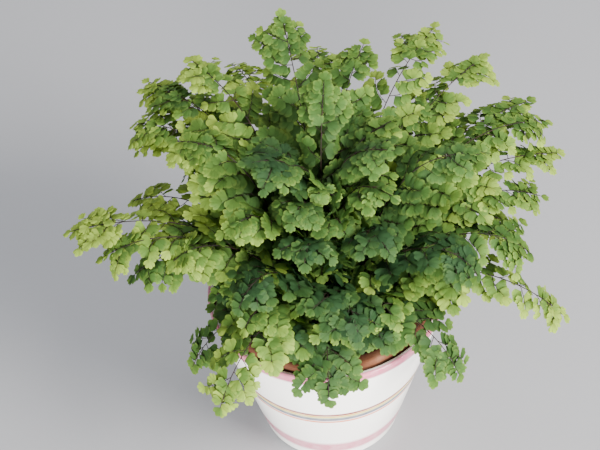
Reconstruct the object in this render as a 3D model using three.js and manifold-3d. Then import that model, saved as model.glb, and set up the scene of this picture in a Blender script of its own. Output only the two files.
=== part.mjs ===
// A maidenhair fern growing in a plain terracotta pot, which stands in a glazed planter.
// Units are millimetres, +Z is up, and the origin is the centre of the planter's flat foot.
// -Y is the front. Each frond is one solid: its wiry stem, its side sprays and their leaflets.
import * as THREE from "three";
import { mergeVertices } from "three/addons/utils/BufferGeometryUtils.js";
import Module from "manifold-3d";

const wasm = await Module();
wasm.setup();

// Driving dimensions
const planter = { rimRadius: 90, footRadius: 55.5, height: 142, wall: 5, floor: 7, edge: 1.5, sides: 40 };
const clayPot = { gap: 1.5, proud: 5, wall: 9.5, floor: 9, edge: 2, drainRadius: 7, sides: 32 };
const soil = { below: 13, mound: 5, rings: [1, 0.75, 0.45, 0], sides: 24 };
const seat = 0.3; // clearance between pieces that rest on each other
const weld = 1e-4; // corners nearer than this are one
const rib = { halfWidth: 0.65, halfDepth: 0.5 };
const stem = {
  halfWidth: 0.9,
  halfDepth: 0.75,
  buried: 12,
  clearance: 0.35, // in its hole in the soil
  rootSpread: 70, // stems that lean more root further out
  bare: 0.32, // share of its length below the first spray
  step: 22, // between corners on the bare part
  foot: 0.9, // half the width of a spray's foot
};
// How far the slopes at a stem's two ends are felt, as shares of the distance between them.
const arch = { rise: 0.5, fall: 0.42 };
const spray = {
  lean: 50,
  gap: 17.5, // between one spray and the next, on the stem's other side
  taper: 0.9, // length of each, as a share of the one before
  least: 22,
  firstOuter: 3,
  firstInner: 7,
  shadow: 22, // stretch of stem that a spray's leaflets reach over
  droop: 0.003,
};
const leaf = {
  pitch: 15,
  reach: 12.5,
  endReach: 13,
  endShoulder: 0.5,
  endWidth: 0.44,
  taper: 0.3,
  shoulder: 0.9,
  sweep: 0.36,
  cut: 0.14,
  wave: 1,
  tipSize: 0.95,
  halfDepth: 0.34,
};

const rimTop = planter.height + clayPot.proud;
const soilTop = rimTop - soil.below;

// A leaflet keeps this far from other fronds, measured between points a step apart on both. Where it
// would come nearer, its spray is bent up or down, then the leaflet itself. If neither helps it is left out.
const room = {
  apart: 3,
  step: 1.3,
  overRim: 3,
  sprayBends: [0, 10, -10, 20, -20, 30, -30],
  leafletBends: [0, 18, -18, 34, -34],
};

// The fronds, from the crown's top outwards. azimuth turns from +X towards the back, reach and tip place
// the far end, rise and fall are the slopes at the two ends in degrees, and roll tips the blade sideways.
// spread is the length of the longest side spray.
const fronds = [
  { azimuth: 80, reach: 40, tip: 320, rise: 86, fall: 40, roll: 0, spread: 44 },
  { azimuth: -20, reach: 58, tip: 298, rise: 83, fall: 0, roll: 0, spread: 46 },
  { azimuth: 200, reach: 58, tip: 294, rise: 83, fall: 0, roll: 0, spread: 46 },
  { azimuth: 100, reach: 120, tip: 314, rise: 78, fall: 25, roll: 0, spread: 58 },
  { azimuth: 54, reach: 162, tip: 282, rise: 70, fall: 0, roll: 0, spread: 56 },
  { azimuth: 38, reach: 165, tip: 276, rise: 68, fall: 5, roll: 0, spread: 54 },
  { azimuth: 66, reach: 96, tip: 308, rise: 78, fall: 5, roll: 0, spread: 50 },
  { azimuth: 130, reach: 142, tip: 284, rise: 74, fall: 0, roll: 0, spread: 54 },
  { azimuth: 138, reach: 170, tip: 260, rise: 68, fall: -15, roll: 0, spread: 54 },
  { azimuth: 26, reach: 180, tip: 248, rise: 66, fall: -5, roll: 0, spread: 54 },
  { azimuth: 14, reach: 186, tip: 224, rise: 64, fall: -18, roll: 0, spread: 54 },
  { azimuth: 4, reach: 118, tip: 262, rise: 74, fall: -20, roll: 8, spread: 50 },
  { azimuth: 160, reach: 112, tip: 266, rise: 74, fall: -20, roll: -8, spread: 50 },
  { azimuth: 150, reach: 152, tip: 238, rise: 68, fall: -25, roll: 0, spread: 50 },
  { azimuth: -150, reach: 84, tip: 248, rise: 79, fall: -30, roll: 0, spread: 46 },
  { azimuth: -55, reach: 80, tip: 240, rise: 79, fall: -40, roll: 0, spread: 46 },
  { azimuth: -104, reach: 66, tip: 234, rise: 81, fall: -40, roll: 0, spread: 46 },
  { azimuth: -128, reach: 104, tip: 212, rise: 75, fall: -55, roll: 0, spread: 46 },
  { azimuth: -30, reach: 124, tip: 210, rise: 74, fall: -60, roll: 0, spread: 48 },
  { azimuth: 178, reach: 188, tip: 212, rise: 66, fall: -18, roll: 0, spread: 50 },
  { azimuth: 190, reach: 144, tip: 192, rise: 67, fall: -50, roll: 0, spread: 48 },
  { azimuth: -10, reach: 154, tip: 190, rise: 67, fall: -55, roll: 0, spread: 50 },
  { azimuth: -78, reach: 96, tip: 184, rise: 76, fall: -66, roll: 0, spread: 44 },
  { azimuth: -112, reach: 96, tip: 168, rise: 62, fall: -45, roll: 0, spread: 44 },
  { azimuth: -66, reach: 96, tip: 168, rise: 62, fall: -45, roll: 0, spread: 44 },
  { azimuth: -156, reach: 92, tip: 178, rise: 62, fall: -40, roll: 0, spread: 42 },
  { azimuth: -90, reach: 78, tip: 196, rise: 72, fall: -45, roll: 0, spread: 42 },
  { azimuth: -165, reach: 118, tip: 206, rise: 72, fall: -55, roll: 0, spread: 46 },
  { azimuth: 88, reach: 165, tip: 240, rise: 66, fall: -30, roll: 0, spread: 52 },
  { azimuth: 112, reach: 168, tip: 236, rise: 66, fall: -30, roll: 0, spread: 52 },
  { azimuth: -124, reach: 146, tip: 152, rise: 68, fall: -62, roll: 0, spread: 50 },
  { azimuth: -92, reach: 114, tip: 144, rise: 70, fall: -72, roll: 0, spread: 44 },
  { azimuth: -17, reach: 182, tip: 150, rise: 60, fall: -50, roll: 0, spread: 42 },
  { azimuth: -46, reach: 132, tip: 140, rise: 68, fall: -70, roll: 0, spread: 44 },
  { azimuth: -146, reach: 124, tip: 136, rise: 68, fall: -70, roll: 0, spread: 42 },
  { azimuth: 163, reach: 150, tip: 202, rise: 66, fall: -35, roll: 0, spread: 46 },
  { azimuth: 40, reach: 152, tip: 184, rise: 62, fall: -45, roll: 0, spread: 48 },
  { azimuth: 66, reach: 152, tip: 170, rise: 64, fall: -55, roll: 0, spread: 46 },
  { azimuth: 100, reach: 146, tip: 160, rise: 64, fall: -60, roll: 0, spread: 46 },
  { azimuth: 132, reach: 148, tip: 168, rise: 64, fall: -55, roll: 0, spread: 46 },
  { azimuth: 8, reach: 150, tip: 172, rise: 60, fall: -50, roll: 0, spread: 44 },
];

const radians = THREE.MathUtils.degToRad;

function solidOf(geometry) {
  const bare = geometry.clone().deleteAttribute("normal").deleteAttribute("uv");
  const merged = mergeVertices(bare, weld);
  const vertProperties = merged.attributes.position.array;
  return new wasm.Manifold(new wasm.Mesh({ numProp: 3, vertProperties, triVerts: merged.index.array }));
}

function geometryOf(solid) {
  const { vertProperties, triVerts } = solid.getMesh();
  const geometry = new THREE.BufferGeometry();
  geometry.setAttribute("position", new THREE.BufferAttribute(vertProperties, 3));
  geometry.setIndex(new THREE.BufferAttribute(triVerts, 1));
  geometry.computeVertexNormals();
  return geometry;
}

// A closed profile of [radius, height] pairs, anticlockwise seen from +Y, turned about the Z axis.
function turned(profile, sides) {
  const points = [...profile, profile[0]].map(([r, z]) => new THREE.Vector2(r, z));
  return new THREE.LatheGeometry(points, sides).rotateX(Math.PI / 2);
}

// The planter's inner wall is a straight cone from its floor to its rim.
function innerRadius(z) {
  const { footRadius, rimRadius, height, floor, wall } = planter;
  const outerAtFloor = THREE.MathUtils.lerp(footRadius, rimRadius, floor / height);
  return THREE.MathUtils.mapLinear(z, floor, height, outerAtFloor, rimRadius) - wall;
}

function planterGeometry() {
  const { rimRadius, footRadius, height, wall, floor, edge, sides } = planter;
  return turned(
    [
      [0, 0],
      [footRadius - edge, 0],
      [footRadius, edge],
      [rimRadius, height - edge],
      [rimRadius - edge, height],
      [rimRadius - wall + edge, height],
      [innerRadius(height - edge), height - edge],
      [innerRadius(floor), floor],
      [0, floor],
    ],
    sides,
  );
}

function potRadius(z) {
  return innerRadius(Math.min(z, planter.height)) - clayPot.gap;
}

function potBore(z) {
  return potRadius(z) - clayPot.wall;
}

function clayPotGeometry() {
  const { edge, floor, drainRadius, sides } = clayPot;
  const foot = planter.floor + seat;
  return turned(
    [
      [drainRadius, foot],
      [potRadius(foot), foot],
      [potRadius(planter.height), planter.height],
      [potRadius(rimTop), rimTop - edge],
      [potRadius(rimTop) - edge, rimTop],
      [potBore(rimTop) + edge, rimTop],
      [potBore(rimTop), rimTop - edge],
      [potBore(planter.height), planter.height],
      [potBore(foot + floor), foot + floor],
      [drainRadius, foot + floor],
    ],
    sides,
  );
}

// The soil's surface is a low mound.
function soilHeight(radius) {
  const across = Math.min(radius / potBore(soilTop), 1);
  return soilTop + soil.mound * (1 - across * across);
}

function soilSolid(frames) {
  const bottom = planter.floor + seat + clayPot.floor + seat;
  const edge = potBore(soilTop) - seat;
  const surface = soil.rings.map((share) => [edge * share, soilHeight(edge * share)]);
  const block = solidOf(turned([[0, bottom], [potBore(bottom) - seat, bottom], ...surface], soil.sides));
  return frames.reduce((solid, frame) => solid.subtract(stemHole(frame)), block);
}

// A plain square hole that a stem stands in. The box that cuts it starts well above the soil.
function stemHole({ at }) {
  const { halfWidth, halfDepth, buried, clearance } = stem;
  const { centre, along, side, face } = at(0);
  const above = 6;
  const length = buried + clearance + above;
  const box = new THREE.BoxGeometry(2 * (halfWidth + clearance), 2 * (halfDepth + clearance), length);
  const middle = centre.addScaledVector(along, above - length / 2);
  box.applyMatrix4(new THREE.Matrix4().makeBasis(side, face, along).setPosition(middle));
  return solidOf(box);
}

// The line of a frond's stem. A frame on it has the stem's direction, its left side and its upper face.
function frondFrame({ azimuth, reach, tip, rise, fall, roll }) {
  const outward = new THREE.Vector3(Math.cos(radians(azimuth)), Math.sin(radians(azimuth)), 0);
  const left = new THREE.Vector3(-outward.y, outward.x, 0);
  const slope = (angle) => outward.clone().applyAxisAngle(left, -radians(angle));
  const rootRadius = stem.rootSpread * Math.cos(radians(rise));
  const base = outward.clone().multiplyScalar(rootRadius).setZ(soilHeight(rootRadius));
  const end = outward.clone().multiplyScalar(reach).setZ(tip);
  const chord = end.distanceTo(base);
  const curve = new THREE.CubicBezierCurve3(
    base,
    base.clone().addScaledVector(slope(rise), chord * arch.rise),
    end.clone().addScaledVector(slope(fall), -chord * arch.fall),
    end,
  );
  const length = curve.getLength();

  // Below the soil the stem runs straight on.
  function at(distance) {
    const share = THREE.MathUtils.clamp(distance / length, 0, 1);
    const along = curve.getTangentAt(share);
    const centre = curve.getPointAt(share).addScaledVector(along, distance - share * length);
    const side = left.clone().applyAxisAngle(along, radians(roll) * share);
    const face = new THREE.Vector3().crossVectors(along, side);
    return { centre, along, side, face };
  }
  return { length, at };
}

// A frond is a flat plan, bent into place. A shoot is a length of stem or rib, and its items are joints,
// leaflets and smaller shoots. An item starts at a distance on its parent's line, on its right (side -1),
// its left (1) or at its end (0). lean turns it from the parent's direction, and bend raises its far end.
function addItem(parent, item) {
  parent.items.push({ parent, bend: 0, ...item });
  return parent.items.at(-1);
}

// Leaflets side by side, sized to fill the rib that carries them. They get shorter towards its end, where
// one more grows.
function addLeaflets(shoot, starts, size) {
  const first = Math.min(...Object.values(starts));
  Object.entries(starts).forEach(([side, start]) => {
    const count = Math.round((shoot.length - start) / (leaf.pitch * size));
    const width = (shoot.length - start) / count;
    for (let i = 0; i < count; i += 1) {
      const at = start + i * width;
      const share = (at - first) / (shoot.length - first);
      const reach = leaf.reach * size * (1 - leaf.taper * share);
      addItem(shoot, { kind: "leaflet", at, side: Number(side), lean: side * 90, width, reach });
    }
  });
  const reach = leaf.endReach * size;
  addItem(shoot, { kind: "leaflet", at: shoot.length, side: 0, lean: 0, width: leaf.pitch * size, reach });
}

// Sprays alternate up the stem and get shorter, and single leaflets take over near its tip.
function frondPlan({ spread }, frame) {
  const bare = frame.length * stem.bare;
  const frond = { bare, length: frame.length - leaf.endReach * leaf.tipSize, items: [] };
  const steps = Math.ceil(bare / stem.step);
  [-1, 1].forEach((side) => {
    addItem(frond, { kind: "joint", at: -stem.buried, side });
    for (let i = 0; i < steps; i += 1) addItem(frond, { kind: "joint", at: (bare * i) / steps, side });
  });
  const starts = {};
  let at = bare;
  let side = 1;
  for (let reach = spread; reach > spray.least && at < frond.length - spray.gap; reach *= spray.taper) {
    const length = reach - leaf.endReach;
    const shoot = addItem(frond, { kind: "shoot", at, side, lean: side * spray.lean, length, items: [] });
    addLeaflets(shoot, { [side]: spray.firstOuter, [-side]: spray.firstInner }, 1);
    starts[side] = at + spray.shadow;
    at += spray.gap;
    side = -side;
  }
  addLeaflets(frond, starts, leaf.tipSize);
  return frond;
}

// Where a point of an item lies on the plan, and how far it is lifted off it.
function onPlan(item, u, v, lift) {
  if (!item.parent) return { x: u, y: v, lift };
  const cos = Math.cos(radians(item.lean));
  const sin = Math.sin(radians(item.lean));
  const raised = lift + u * Math.tan(radians(item.bend));
  return onPlan(item.parent, item.at + u * cos - v * sin, u * sin + v * cos, raised);
}

// A point of the plan, bent along the frond's stem. The sprays droop away from it.
function inPlace(frame, { x, y, lift }, offset = 0) {
  const { centre, side, face } = frame.at(x);
  return centre.addScaledVector(side, y).addScaledVector(face, lift + offset - spray.droop * y * y);
}

// A stem thins from the soil to the first spray, where it is as thin as a rib.
function thickness(shoot, u) {
  const share = shoot.parent ? 1 : THREE.MathUtils.clamp(u / shoot.bare, 0, 1) ** 2;
  return {
    halfWidth: THREE.MathUtils.lerp(stem.halfWidth, rib.halfWidth, share),
    halfDepth: THREE.MathUtils.lerp(stem.halfDepth, rib.halfDepth, share),
  };
}

// A leaflet's outer corners, from the one nearest the foot of its shoot: distance from the rib, distance
// across and lift.
function leafletCorners({ side, width, reach }) {
  if (side === 0) {
    const [shoulder, half] = [reach * leaf.endShoulder, width * leaf.endWidth];
    return [[shoulder, -half, 0], [reach, 0, 0], [shoulder, half, 0]];
  }
  return [
    [reach * leaf.shoulder, -side * width * leaf.sweep, -leaf.wave],
    [reach, -side * width * (1 + leaf.sweep - leaf.cut), leaf.wave],
  ];
}

// The blade as corners on the plan and faces between them, anticlockwise. Leaflets that meet at the rib
// share a corner there.
function blade(frond) {
  const corners = [];
  const faces = [];
  const addCorner = (item, [u, v, lift], halfDepth) => {
    corners.push({ ...onPlan(item, u, v, lift), halfDepth });
    return corners.length - 1;
  };
  const addTips = (leaflet) => {
    return leafletCorners(leaflet).map((corner) => addCorner(leaflet, corner, leaf.halfDepth));
  };
  const addFan = (...ring) => {
    for (let i = 1; i + 1 < ring.length; i += 1) faces.push([ring[0], ring[i], ring[i + 1]]);
  };

  // The corners along one edge of a shoot, and what grows between them.
  function addEdge(shoot, side, foot) {
    const edge = foot === undefined ? [] : [{ at: 0, corner: foot }];
    const cornerAt = (at) => {
      if (!edge.length || at - edge.at(-1).at > weld) {
        const { halfWidth, halfDepth } = thickness(shoot, at);
        edge.push({ at, corner: addCorner(shoot, [at, side * halfWidth, 0], halfDepth) });
      }
      return edge.at(-1).corner;
    };
    const items = shoot.items.filter((item) => item.side === side).sort((a, b) => a.at - b.at);
    for (const item of items) {
      if (item.kind === "joint") {
        cornerAt(item.at);
      } else if (item.kind === "leaflet") {
        const feet = [cornerAt(item.at), cornerAt(item.at + item.width)];
        addFan(feet[0], ...(side < 0 ? [...addTips(item), feet[1]] : [feet[1], ...addTips(item).reverse()]));
      } else {
        const feet = [cornerAt(item.at - stem.foot), cornerAt(item.at + stem.foot)];
        addShoot(item, ...(side < 0 ? feet : feet.reverse()));
      }
    }
    cornerAt(shoot.length);
    return edge;
  }

  // A shoot is a strip between its two edges, with a leaflet at its end.
  function addShoot(shoot, rightFoot, leftFoot) {
    const right = addEdge(shoot, -1, rightFoot);
    const left = addEdge(shoot, 1, leftFoot);
    let i = 0;
    let j = 0;
    while (i + 1 < right.length || j + 1 < left.length) {
      const nextRight = right[i + 1]?.at ?? Infinity;
      const nextLeft = left[j + 1]?.at ?? Infinity;
      if (nextRight < nextLeft) {
        faces.push([right[i].corner, right[i + 1].corner, left[j].corner]);
        i += 1;
      } else {
        faces.push([right[i].corner, left[j + 1].corner, left[j].corner]);
        j += 1;
      }
    }
    const last = shoot.items.find((item) => item.side === 0 && item.kind === "leaflet");
    if (last) addFan(left[j].corner, right[i].corner, ...addTips(last));
  }

  addShoot(frond);
  return { corners, faces };
}

// The blade's upper and lower face are split into triangles alike, and a wall runs along their edge.
function frondGeometry(frame, frond) {
  const { corners, faces } = blade(frond);
  const count = corners.length;
  const upper = corners.map((corner) => inPlace(frame, corner, corner.halfDepth));
  const lower = corners.map((corner) => inPlace(frame, corner, -corner.halfDepth));
  const index = faces.flatMap(([a, b, c]) => [a, b, c, c + count, b + count, a + count]);
  const sides = faces.flatMap(([a, b, c]) => [[a, b], [b, c], [c, a]]);
  const crossed = new Set(sides.map(([a, b]) => `${b} ${a}`));
  const rim = sides.filter(([a, b]) => !crossed.has(`${a} ${b}`));
  index.push(...rim.flatMap(([a, b]) => [a, a + count, b + count, a, b + count, b]));
  const geometry = new THREE.BufferGeometry().setFromPoints([...upper, ...lower]);
  geometry.setIndex(index);
  geometry.computeVertexNormals();
  return geometry;
}

// Points a step apart along a shoot's line.
function lineSamples(shoot) {
  const count = Math.ceil(shoot.length / room.step);
  return Array.from({ length: count + 1 }, (_, i) => onPlan(shoot, (shoot.length * i) / count, 0, 0));
}

// Points a step apart over a leaflet, in rows from its foot to its outer edge.
function leafletSamples(leaflet) {
  const { side, width, reach } = leaflet;
  const corners = leafletCorners(leaflet);
  const mix = (a, b, share) => a.map((value, i) => THREE.MathUtils.lerp(value, b[i], share));
  const [rows, columns] = [reach, width].map((size) => Math.ceil(size / room.step));
  const points = [];
  for (let column = 0; column <= columns; column += 1) {
    const along = (column / columns) * (corners.length - 1);
    const before = Math.min(Math.floor(along), corners.length - 2);
    const edge = mix(corners[before], corners[before + 1], along - before);
    const foot = [0, (-side * width * column) / columns, 0];
    for (let row = 1; row <= rows; row += 1) points.push(onPlan(leaflet, ...mix(foot, edge, row / rows)));
  }
  return points;
}

function samples(item) {
  return item.kind === "leaflet" ? leafletSamples(item) : lineSamples(item);
}

// What is already in place, as points in a grid of cubes.
const filled = new Map();

function cubeKey(x, y, z) {
  return `${Math.floor(x / room.apart)} ${Math.floor(y / room.apart)} ${Math.floor(z / room.apart)}`;
}

function fill(frame, item) {
  samples(item).forEach((sample) => {
    const point = inPlace(frame, sample);
    const key = cubeKey(point.x, point.y, point.z);
    if (!filled.has(key)) filled.set(key, []);
    filled.get(key).push({ point, frame });
  });
}

function isTaken(frame, point) {
  const { x, y, z } = point;
  if (z < rimTop + room.overRim && Math.hypot(x, y) < planter.rimRadius + room.overRim) return true;
  const steps = [-room.apart, 0, room.apart];
  return steps.some((dx) => steps.some((dy) => steps.some((dz) => {
    const others = filled.get(cubeKey(x + dx, y + dy, z + dz)) ?? [];
    return others.some((other) => other.frame !== frame && other.point.distanceTo(point) < room.apart);
  })));
}

function isClear(frame, item) {
  return !samples(item).some((sample) => isTaken(frame, inPlace(frame, sample)));
}

// Bends a leaflet until it is clear, and says whether it is.
function bendLeaflet(frame, leaflet) {
  return room.leafletBends.some((bend) => {
    leaflet.bend = bend;
    return isClear(frame, leaflet);
  });
}

// Where an item is left out, its parent's edge keeps a joint.
function keep(shoot, isKept) {
  shoot.items = shoot.items.map((item) => {
    if (item.kind === "joint" || isKept(item)) return item;
    return { kind: "joint", at: item.at, side: item.side };
  });
}

// Gives a spray the bend that keeps most of its leaflets, and says whether any are left.
function bendSpray(frame, shoot) {
  const kept = room.sprayBends.map((bend) => {
    shoot.bend = bend;
    return isClear(frame, shoot) ? shoot.items.filter((leaflet) => bendLeaflet(frame, leaflet)).length : 0;
  });
  shoot.bend = room.sprayBends[kept.indexOf(Math.max(...kept))];
  keep(shoot, (leaflet) => bendLeaflet(frame, leaflet));
  return Math.max(...kept) > 0;
}

function bendClear(frame, frond) {
  keep(frond, (item) => (item.kind === "leaflet" ? bendLeaflet : bendSpray)(frame, item));
  const grown = (shoot) => shoot.items.filter((item) => item.kind !== "joint");
  grown(frond).forEach((item) => {
    fill(frame, item);
    if (item.kind === "shoot") grown(item).forEach((leaflet) => fill(frame, leaflet));
  });
}

const frames = fronds.map(frondFrame);
const plans = fronds.map((frond, i) => frondPlan(frond, frames[i]));

// Every stem has its place, and the fronds that reach furthest to the front get their leaves first.
plans.forEach((plan, i) => fill(frames[i], plan));
const tipDepth = frames.map((frame) => frame.at(frame.length).centre.y);
const frontFirst = [...plans.keys()].sort((a, b) => tipDepth[a] - tipDepth[b]);
frontFirst.forEach((i) => bendClear(frames[i], plans[i]));

const clayPotMaterial = new THREE.MeshStandardMaterial({ color: 0xb5683f, roughness: 0.9, metalness: 0 });
const planterMaterial = new THREE.MeshStandardMaterial({ color: 0xf1eee8, roughness: 0.25, metalness: 0 });
const soilMaterial = new THREE.MeshStandardMaterial({ color: 0x3a2a1e, roughness: 1, metalness: 0 });
const frondMaterial = new THREE.MeshStandardMaterial({ color: 0x6f9f36, roughness: 0.6, metalness: 0 });

const fern = new THREE.Group();

function addPiece(name, geometry, material) {
  const mesh = new THREE.Mesh(geometry, material);
  mesh.name = name;
  fern.add(mesh);
}

addPiece("planter", planterGeometry(), planterMaterial);
addPiece("clay_pot", clayPotGeometry(), clayPotMaterial);
addPiece("soil", geometryOf(soilSolid(frames)), soilMaterial);
plans.forEach((plan, i) => {
  addPiece(`frond_${String(i + 1).padStart(2, "0")}`, frondGeometry(frames[i], plan), frondMaterial);
});

export default fern;
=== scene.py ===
import math
import random
from bisect import bisect_right

import bmesh
import bpy
from mathutils import Matrix, Vector, kdtree, noise


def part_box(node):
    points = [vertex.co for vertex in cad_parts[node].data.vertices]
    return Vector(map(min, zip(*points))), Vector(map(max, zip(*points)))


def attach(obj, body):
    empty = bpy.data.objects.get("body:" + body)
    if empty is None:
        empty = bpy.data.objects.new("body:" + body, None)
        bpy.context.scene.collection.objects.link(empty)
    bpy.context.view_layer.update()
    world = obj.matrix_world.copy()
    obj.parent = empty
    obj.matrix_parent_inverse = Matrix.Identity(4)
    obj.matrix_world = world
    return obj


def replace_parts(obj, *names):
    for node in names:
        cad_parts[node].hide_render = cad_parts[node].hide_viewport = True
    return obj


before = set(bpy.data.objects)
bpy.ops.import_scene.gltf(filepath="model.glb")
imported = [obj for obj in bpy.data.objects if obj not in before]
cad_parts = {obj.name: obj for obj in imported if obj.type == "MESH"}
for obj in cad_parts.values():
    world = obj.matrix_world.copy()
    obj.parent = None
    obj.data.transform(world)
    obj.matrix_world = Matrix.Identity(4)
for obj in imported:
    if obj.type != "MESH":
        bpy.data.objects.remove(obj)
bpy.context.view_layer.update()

mm = 0.001
radians = math.radians
print("frame loaded,", len(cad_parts), "nodes")


# Shared helpers

def srgb(hexText):
    # an sRGB hex value as linear red, green, blue and alpha
    parts = [int(hexText[i:i + 2], 16) / 255 for i in (0, 2, 4)]
    return (*[c / 12.92 if c <= 0.04045 else ((c + 0.055) / 1.055) ** 2.4 for c in parts], 1)


def newMaterial(name):
    material = bpy.data.materials.new(name)
    material.use_nodes = True
    material.node_tree.nodes.clear()
    return material


def addNode(material, kind, settings, links):
    # settings are sockets or options by name or number, and "stops" are a ramp's. A link feeds a socket
    # from an output, or from a node's first one
    node = material.node_tree.nodes.new("ShaderNode" + kind)
    for name, value in settings.items():
        if name == "stops":
            (low, lowColour), *between, (high, highColour) = value
            first, last = node.color_ramp.elements
            first.position, first.color = low, lowColour
            last.position, last.color = high, highColour
            for position, colour in between:
                node.color_ramp.elements.new(position).color = colour
        elif isinstance(name, int) or name in node.inputs:
            node.inputs[name].default_value = value
        else:
            setattr(node, name, value)
    for name, source in links.items():
        output = source.outputs[0] if isinstance(source, bpy.types.Node) else source
        material.node_tree.links.new(output, node.inputs[name])
    return node


def newPiece(name, bm, materials, smoothAngle=None):
    # a named piece from a bmesh, smooth but for the edges sharper than smoothAngle
    mesh = bpy.data.meshes.new(name)
    if smoothAngle is not None:
        for face in bm.faces:
            face.smooth = True
        for edge in bm.edges:
            edge.smooth = edge.calc_face_angle(0) < radians(smoothAngle)
    bm.to_mesh(mesh)
    bm.free()
    for material in materials:
        mesh.materials.append(material)
    piece = bpy.data.objects.new(name, mesh)
    bpy.context.scene.collection.objects.link(piece)
    return piece


def latheMesh(profile, steps):
    # a closed outline of (radius, height) pairs in mm, turned about Z
    bm = bmesh.new()
    corners = [bm.verts.new((r * mm, 0, z * mm)) for r, z in profile]
    for a, b in zip(corners, corners[1:]):
        bm.edges.new((a, b))
    if profile[0][0] > 0:
        bm.edges.new((corners[-1], corners[0]))
    bmesh.ops.spin(bm, geom=bm.verts[:] + bm.edges[:], cent=(0, 0, 0), axis=(0, 0, 1), dvec=(0, 0, 0),
                   angle=math.tau, steps=steps, use_merge=True)
    bmesh.ops.remove_doubles(bm, verts=bm.verts[:], dist=0.01 * mm)
    bmesh.ops.recalc_face_normals(bm, faces=bm.faces[:])
    return bm


def arc(centre, radius, start, end, steps):
    # the rounded part of such an outline between two angles
    angles = [radians(start + (end - start) * i / steps) for i in range(steps + 1)]
    return [(centre[0] + radius * math.cos(a), centre[1] + radius * math.sin(a)) for a in angles]


# Materials

# White tin glaze over earthenware, with bands brushed on by hand: glossy, faintly uneven, with soft edges.
# Each band has its lower and upper height in mm, its soft edge and its colour. Inside the lip the paint
# ends between the two depths of bareLip. The sizes of the waver, cloud and brush marks are in mm too.
planterLook = {
    "white": "fffefb",
    "shade": "f5f2ec",
    "bands": [
        (12.0, 25.0, 3.0, "ca788c"),
        (67.2, 69.4, 0.4, "d8641a"),
        (70.4, 74.4, 0.4, "5f6072"),
        (74.6, 75.8, 0.2, "7a9e34"),
        (75.9, 78.7, 0.2, "d8aa0c"),
        (78.9, 82.0, 0.3, "7c1606"),
        (134.2, 141.4, 2.0, "bb607a"),
    ],
    "bareLip": (2.8, 1.9),
    "wobble": 0.5,
    "waver": 60,
    "cloud": 35,
    "brush": 7,
    "thinPaint": 0.84,
    "roughness": 0.16,
}


def glazeMaterial():
    look = planterLook
    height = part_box("planter")[1].z
    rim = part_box("planter")[1].x
    material = newMaterial("Tin glaze")
    place = addNode(material, "TexCoord", {}, {}).outputs["Object"]
    waver = addNode(material, "TexNoise", {"Scale": 1 / (look["waver"] * mm), "Detail": 2.0},
                    {"Vector": place})
    upward = addNode(material, "SeparateXYZ", {}, {"Vector": place}).outputs["Z"]
    wide = 2 * look["wobble"] * mm
    shift = addNode(material, "Math", {"operation": "MULTIPLY_ADD", 1: wide, 2: -wide / 2}, {0: waver})
    level = addNode(material, "Math", {"operation": "ADD"}, {0: upward, 1: shift})
    share = addNode(material, "Math", {"operation": "DIVIDE", 1: height}, {0: level})
    apart = 1e-4  # the least step between two stops of the ramp
    stops = [(0.0, (*srgb(look["white"])[:3], 0))]
    for low, high, soft, tone in look["bands"]:
        paint = srgb(tone)[:3]
        for z, strength in ((low - soft, 0), (low + soft / 2, 1), (high - soft / 2, 1), (high + soft, 0)):
            if z * mm < height:
                stops.append((max(z * mm / height, stops[-1][0] + apart), (*paint, strength)))
    bands = addNode(material, "ValToRGB", {"stops": stops}, {"Fac": share})
    brush = addNode(material, "TexNoise", {"Scale": 1 / (look["brush"] * mm), "Detail": 4.0},
                    {"Vector": place})
    thin = addNode(material, "MapRange",
                   {"From Min": 0.3, "From Max": 0.7, "To Min": look["thinPaint"], "To Max": 1.0},
                   {"Value": brush})
    painted = addNode(material, "Math", {"operation": "MULTIPLY"}, {0: bands.outputs["Alpha"], 1: thin})
    flat = addNode(material, "VectorMath", {"operation": "MULTIPLY", 1: (1, 1, 0)}, {0: place})
    radius = addNode(material, "VectorMath", {"operation": "LENGTH"}, {0: flat})
    bare, covered = (rim - inward * mm for inward in look["bareLip"])
    lip = addNode(material, "MapRange", {"From Min": bare, "From Max": covered},
                  {"Value": radius.outputs["Value"]})
    nearTop = addNode(material, "Math", {"operation": "GREATER_THAN", 1: 0.9}, {0: share})
    keep = addNode(material, "Mix", {2: 1.0}, {0: nearTop, 3: lip})
    amount = addNode(material, "Math", {"operation": "MULTIPLY"}, {0: painted, 1: keep})
    cloud = addNode(material, "TexNoise", {"Scale": 1 / (look["cloud"] * mm), "Detail": 3.0},
                    {"Vector": place})
    white = addNode(material, "Mix", {"data_type": "RGBA", 6: srgb(look["white"]), 7: srgb(look["shade"])},
                    {0: cloud})
    colour = addNode(material, "Mix", {"data_type": "RGBA"},
                     {0: amount, 6: white.outputs[2], 7: bands.outputs["Color"]})
    bump = addNode(material, "Bump", {"Strength": 0.12, "Distance": 0.4 * mm}, {"Height": cloud})
    surface = addNode(material, "BsdfPrincipled", {"Roughness": look["roughness"], "IOR": 1.5},
                      {"Base Color": colour.outputs[2], "Normal": bump})
    addNode(material, "OutputMaterial", {}, {"Surface": surface})
    return material


# Unglazed terracotta: matt, sandy, blotched by damp, with pale lime where water dries. The blotches and the
# grit are in mm.
clayLook = {
    "clay": "60361c",
    "damp": "512d1b",
    "lime": "7c5841",
    "blotch": 18,
    "grit": 0.6,
    "roughness": 0.95,
}


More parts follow.
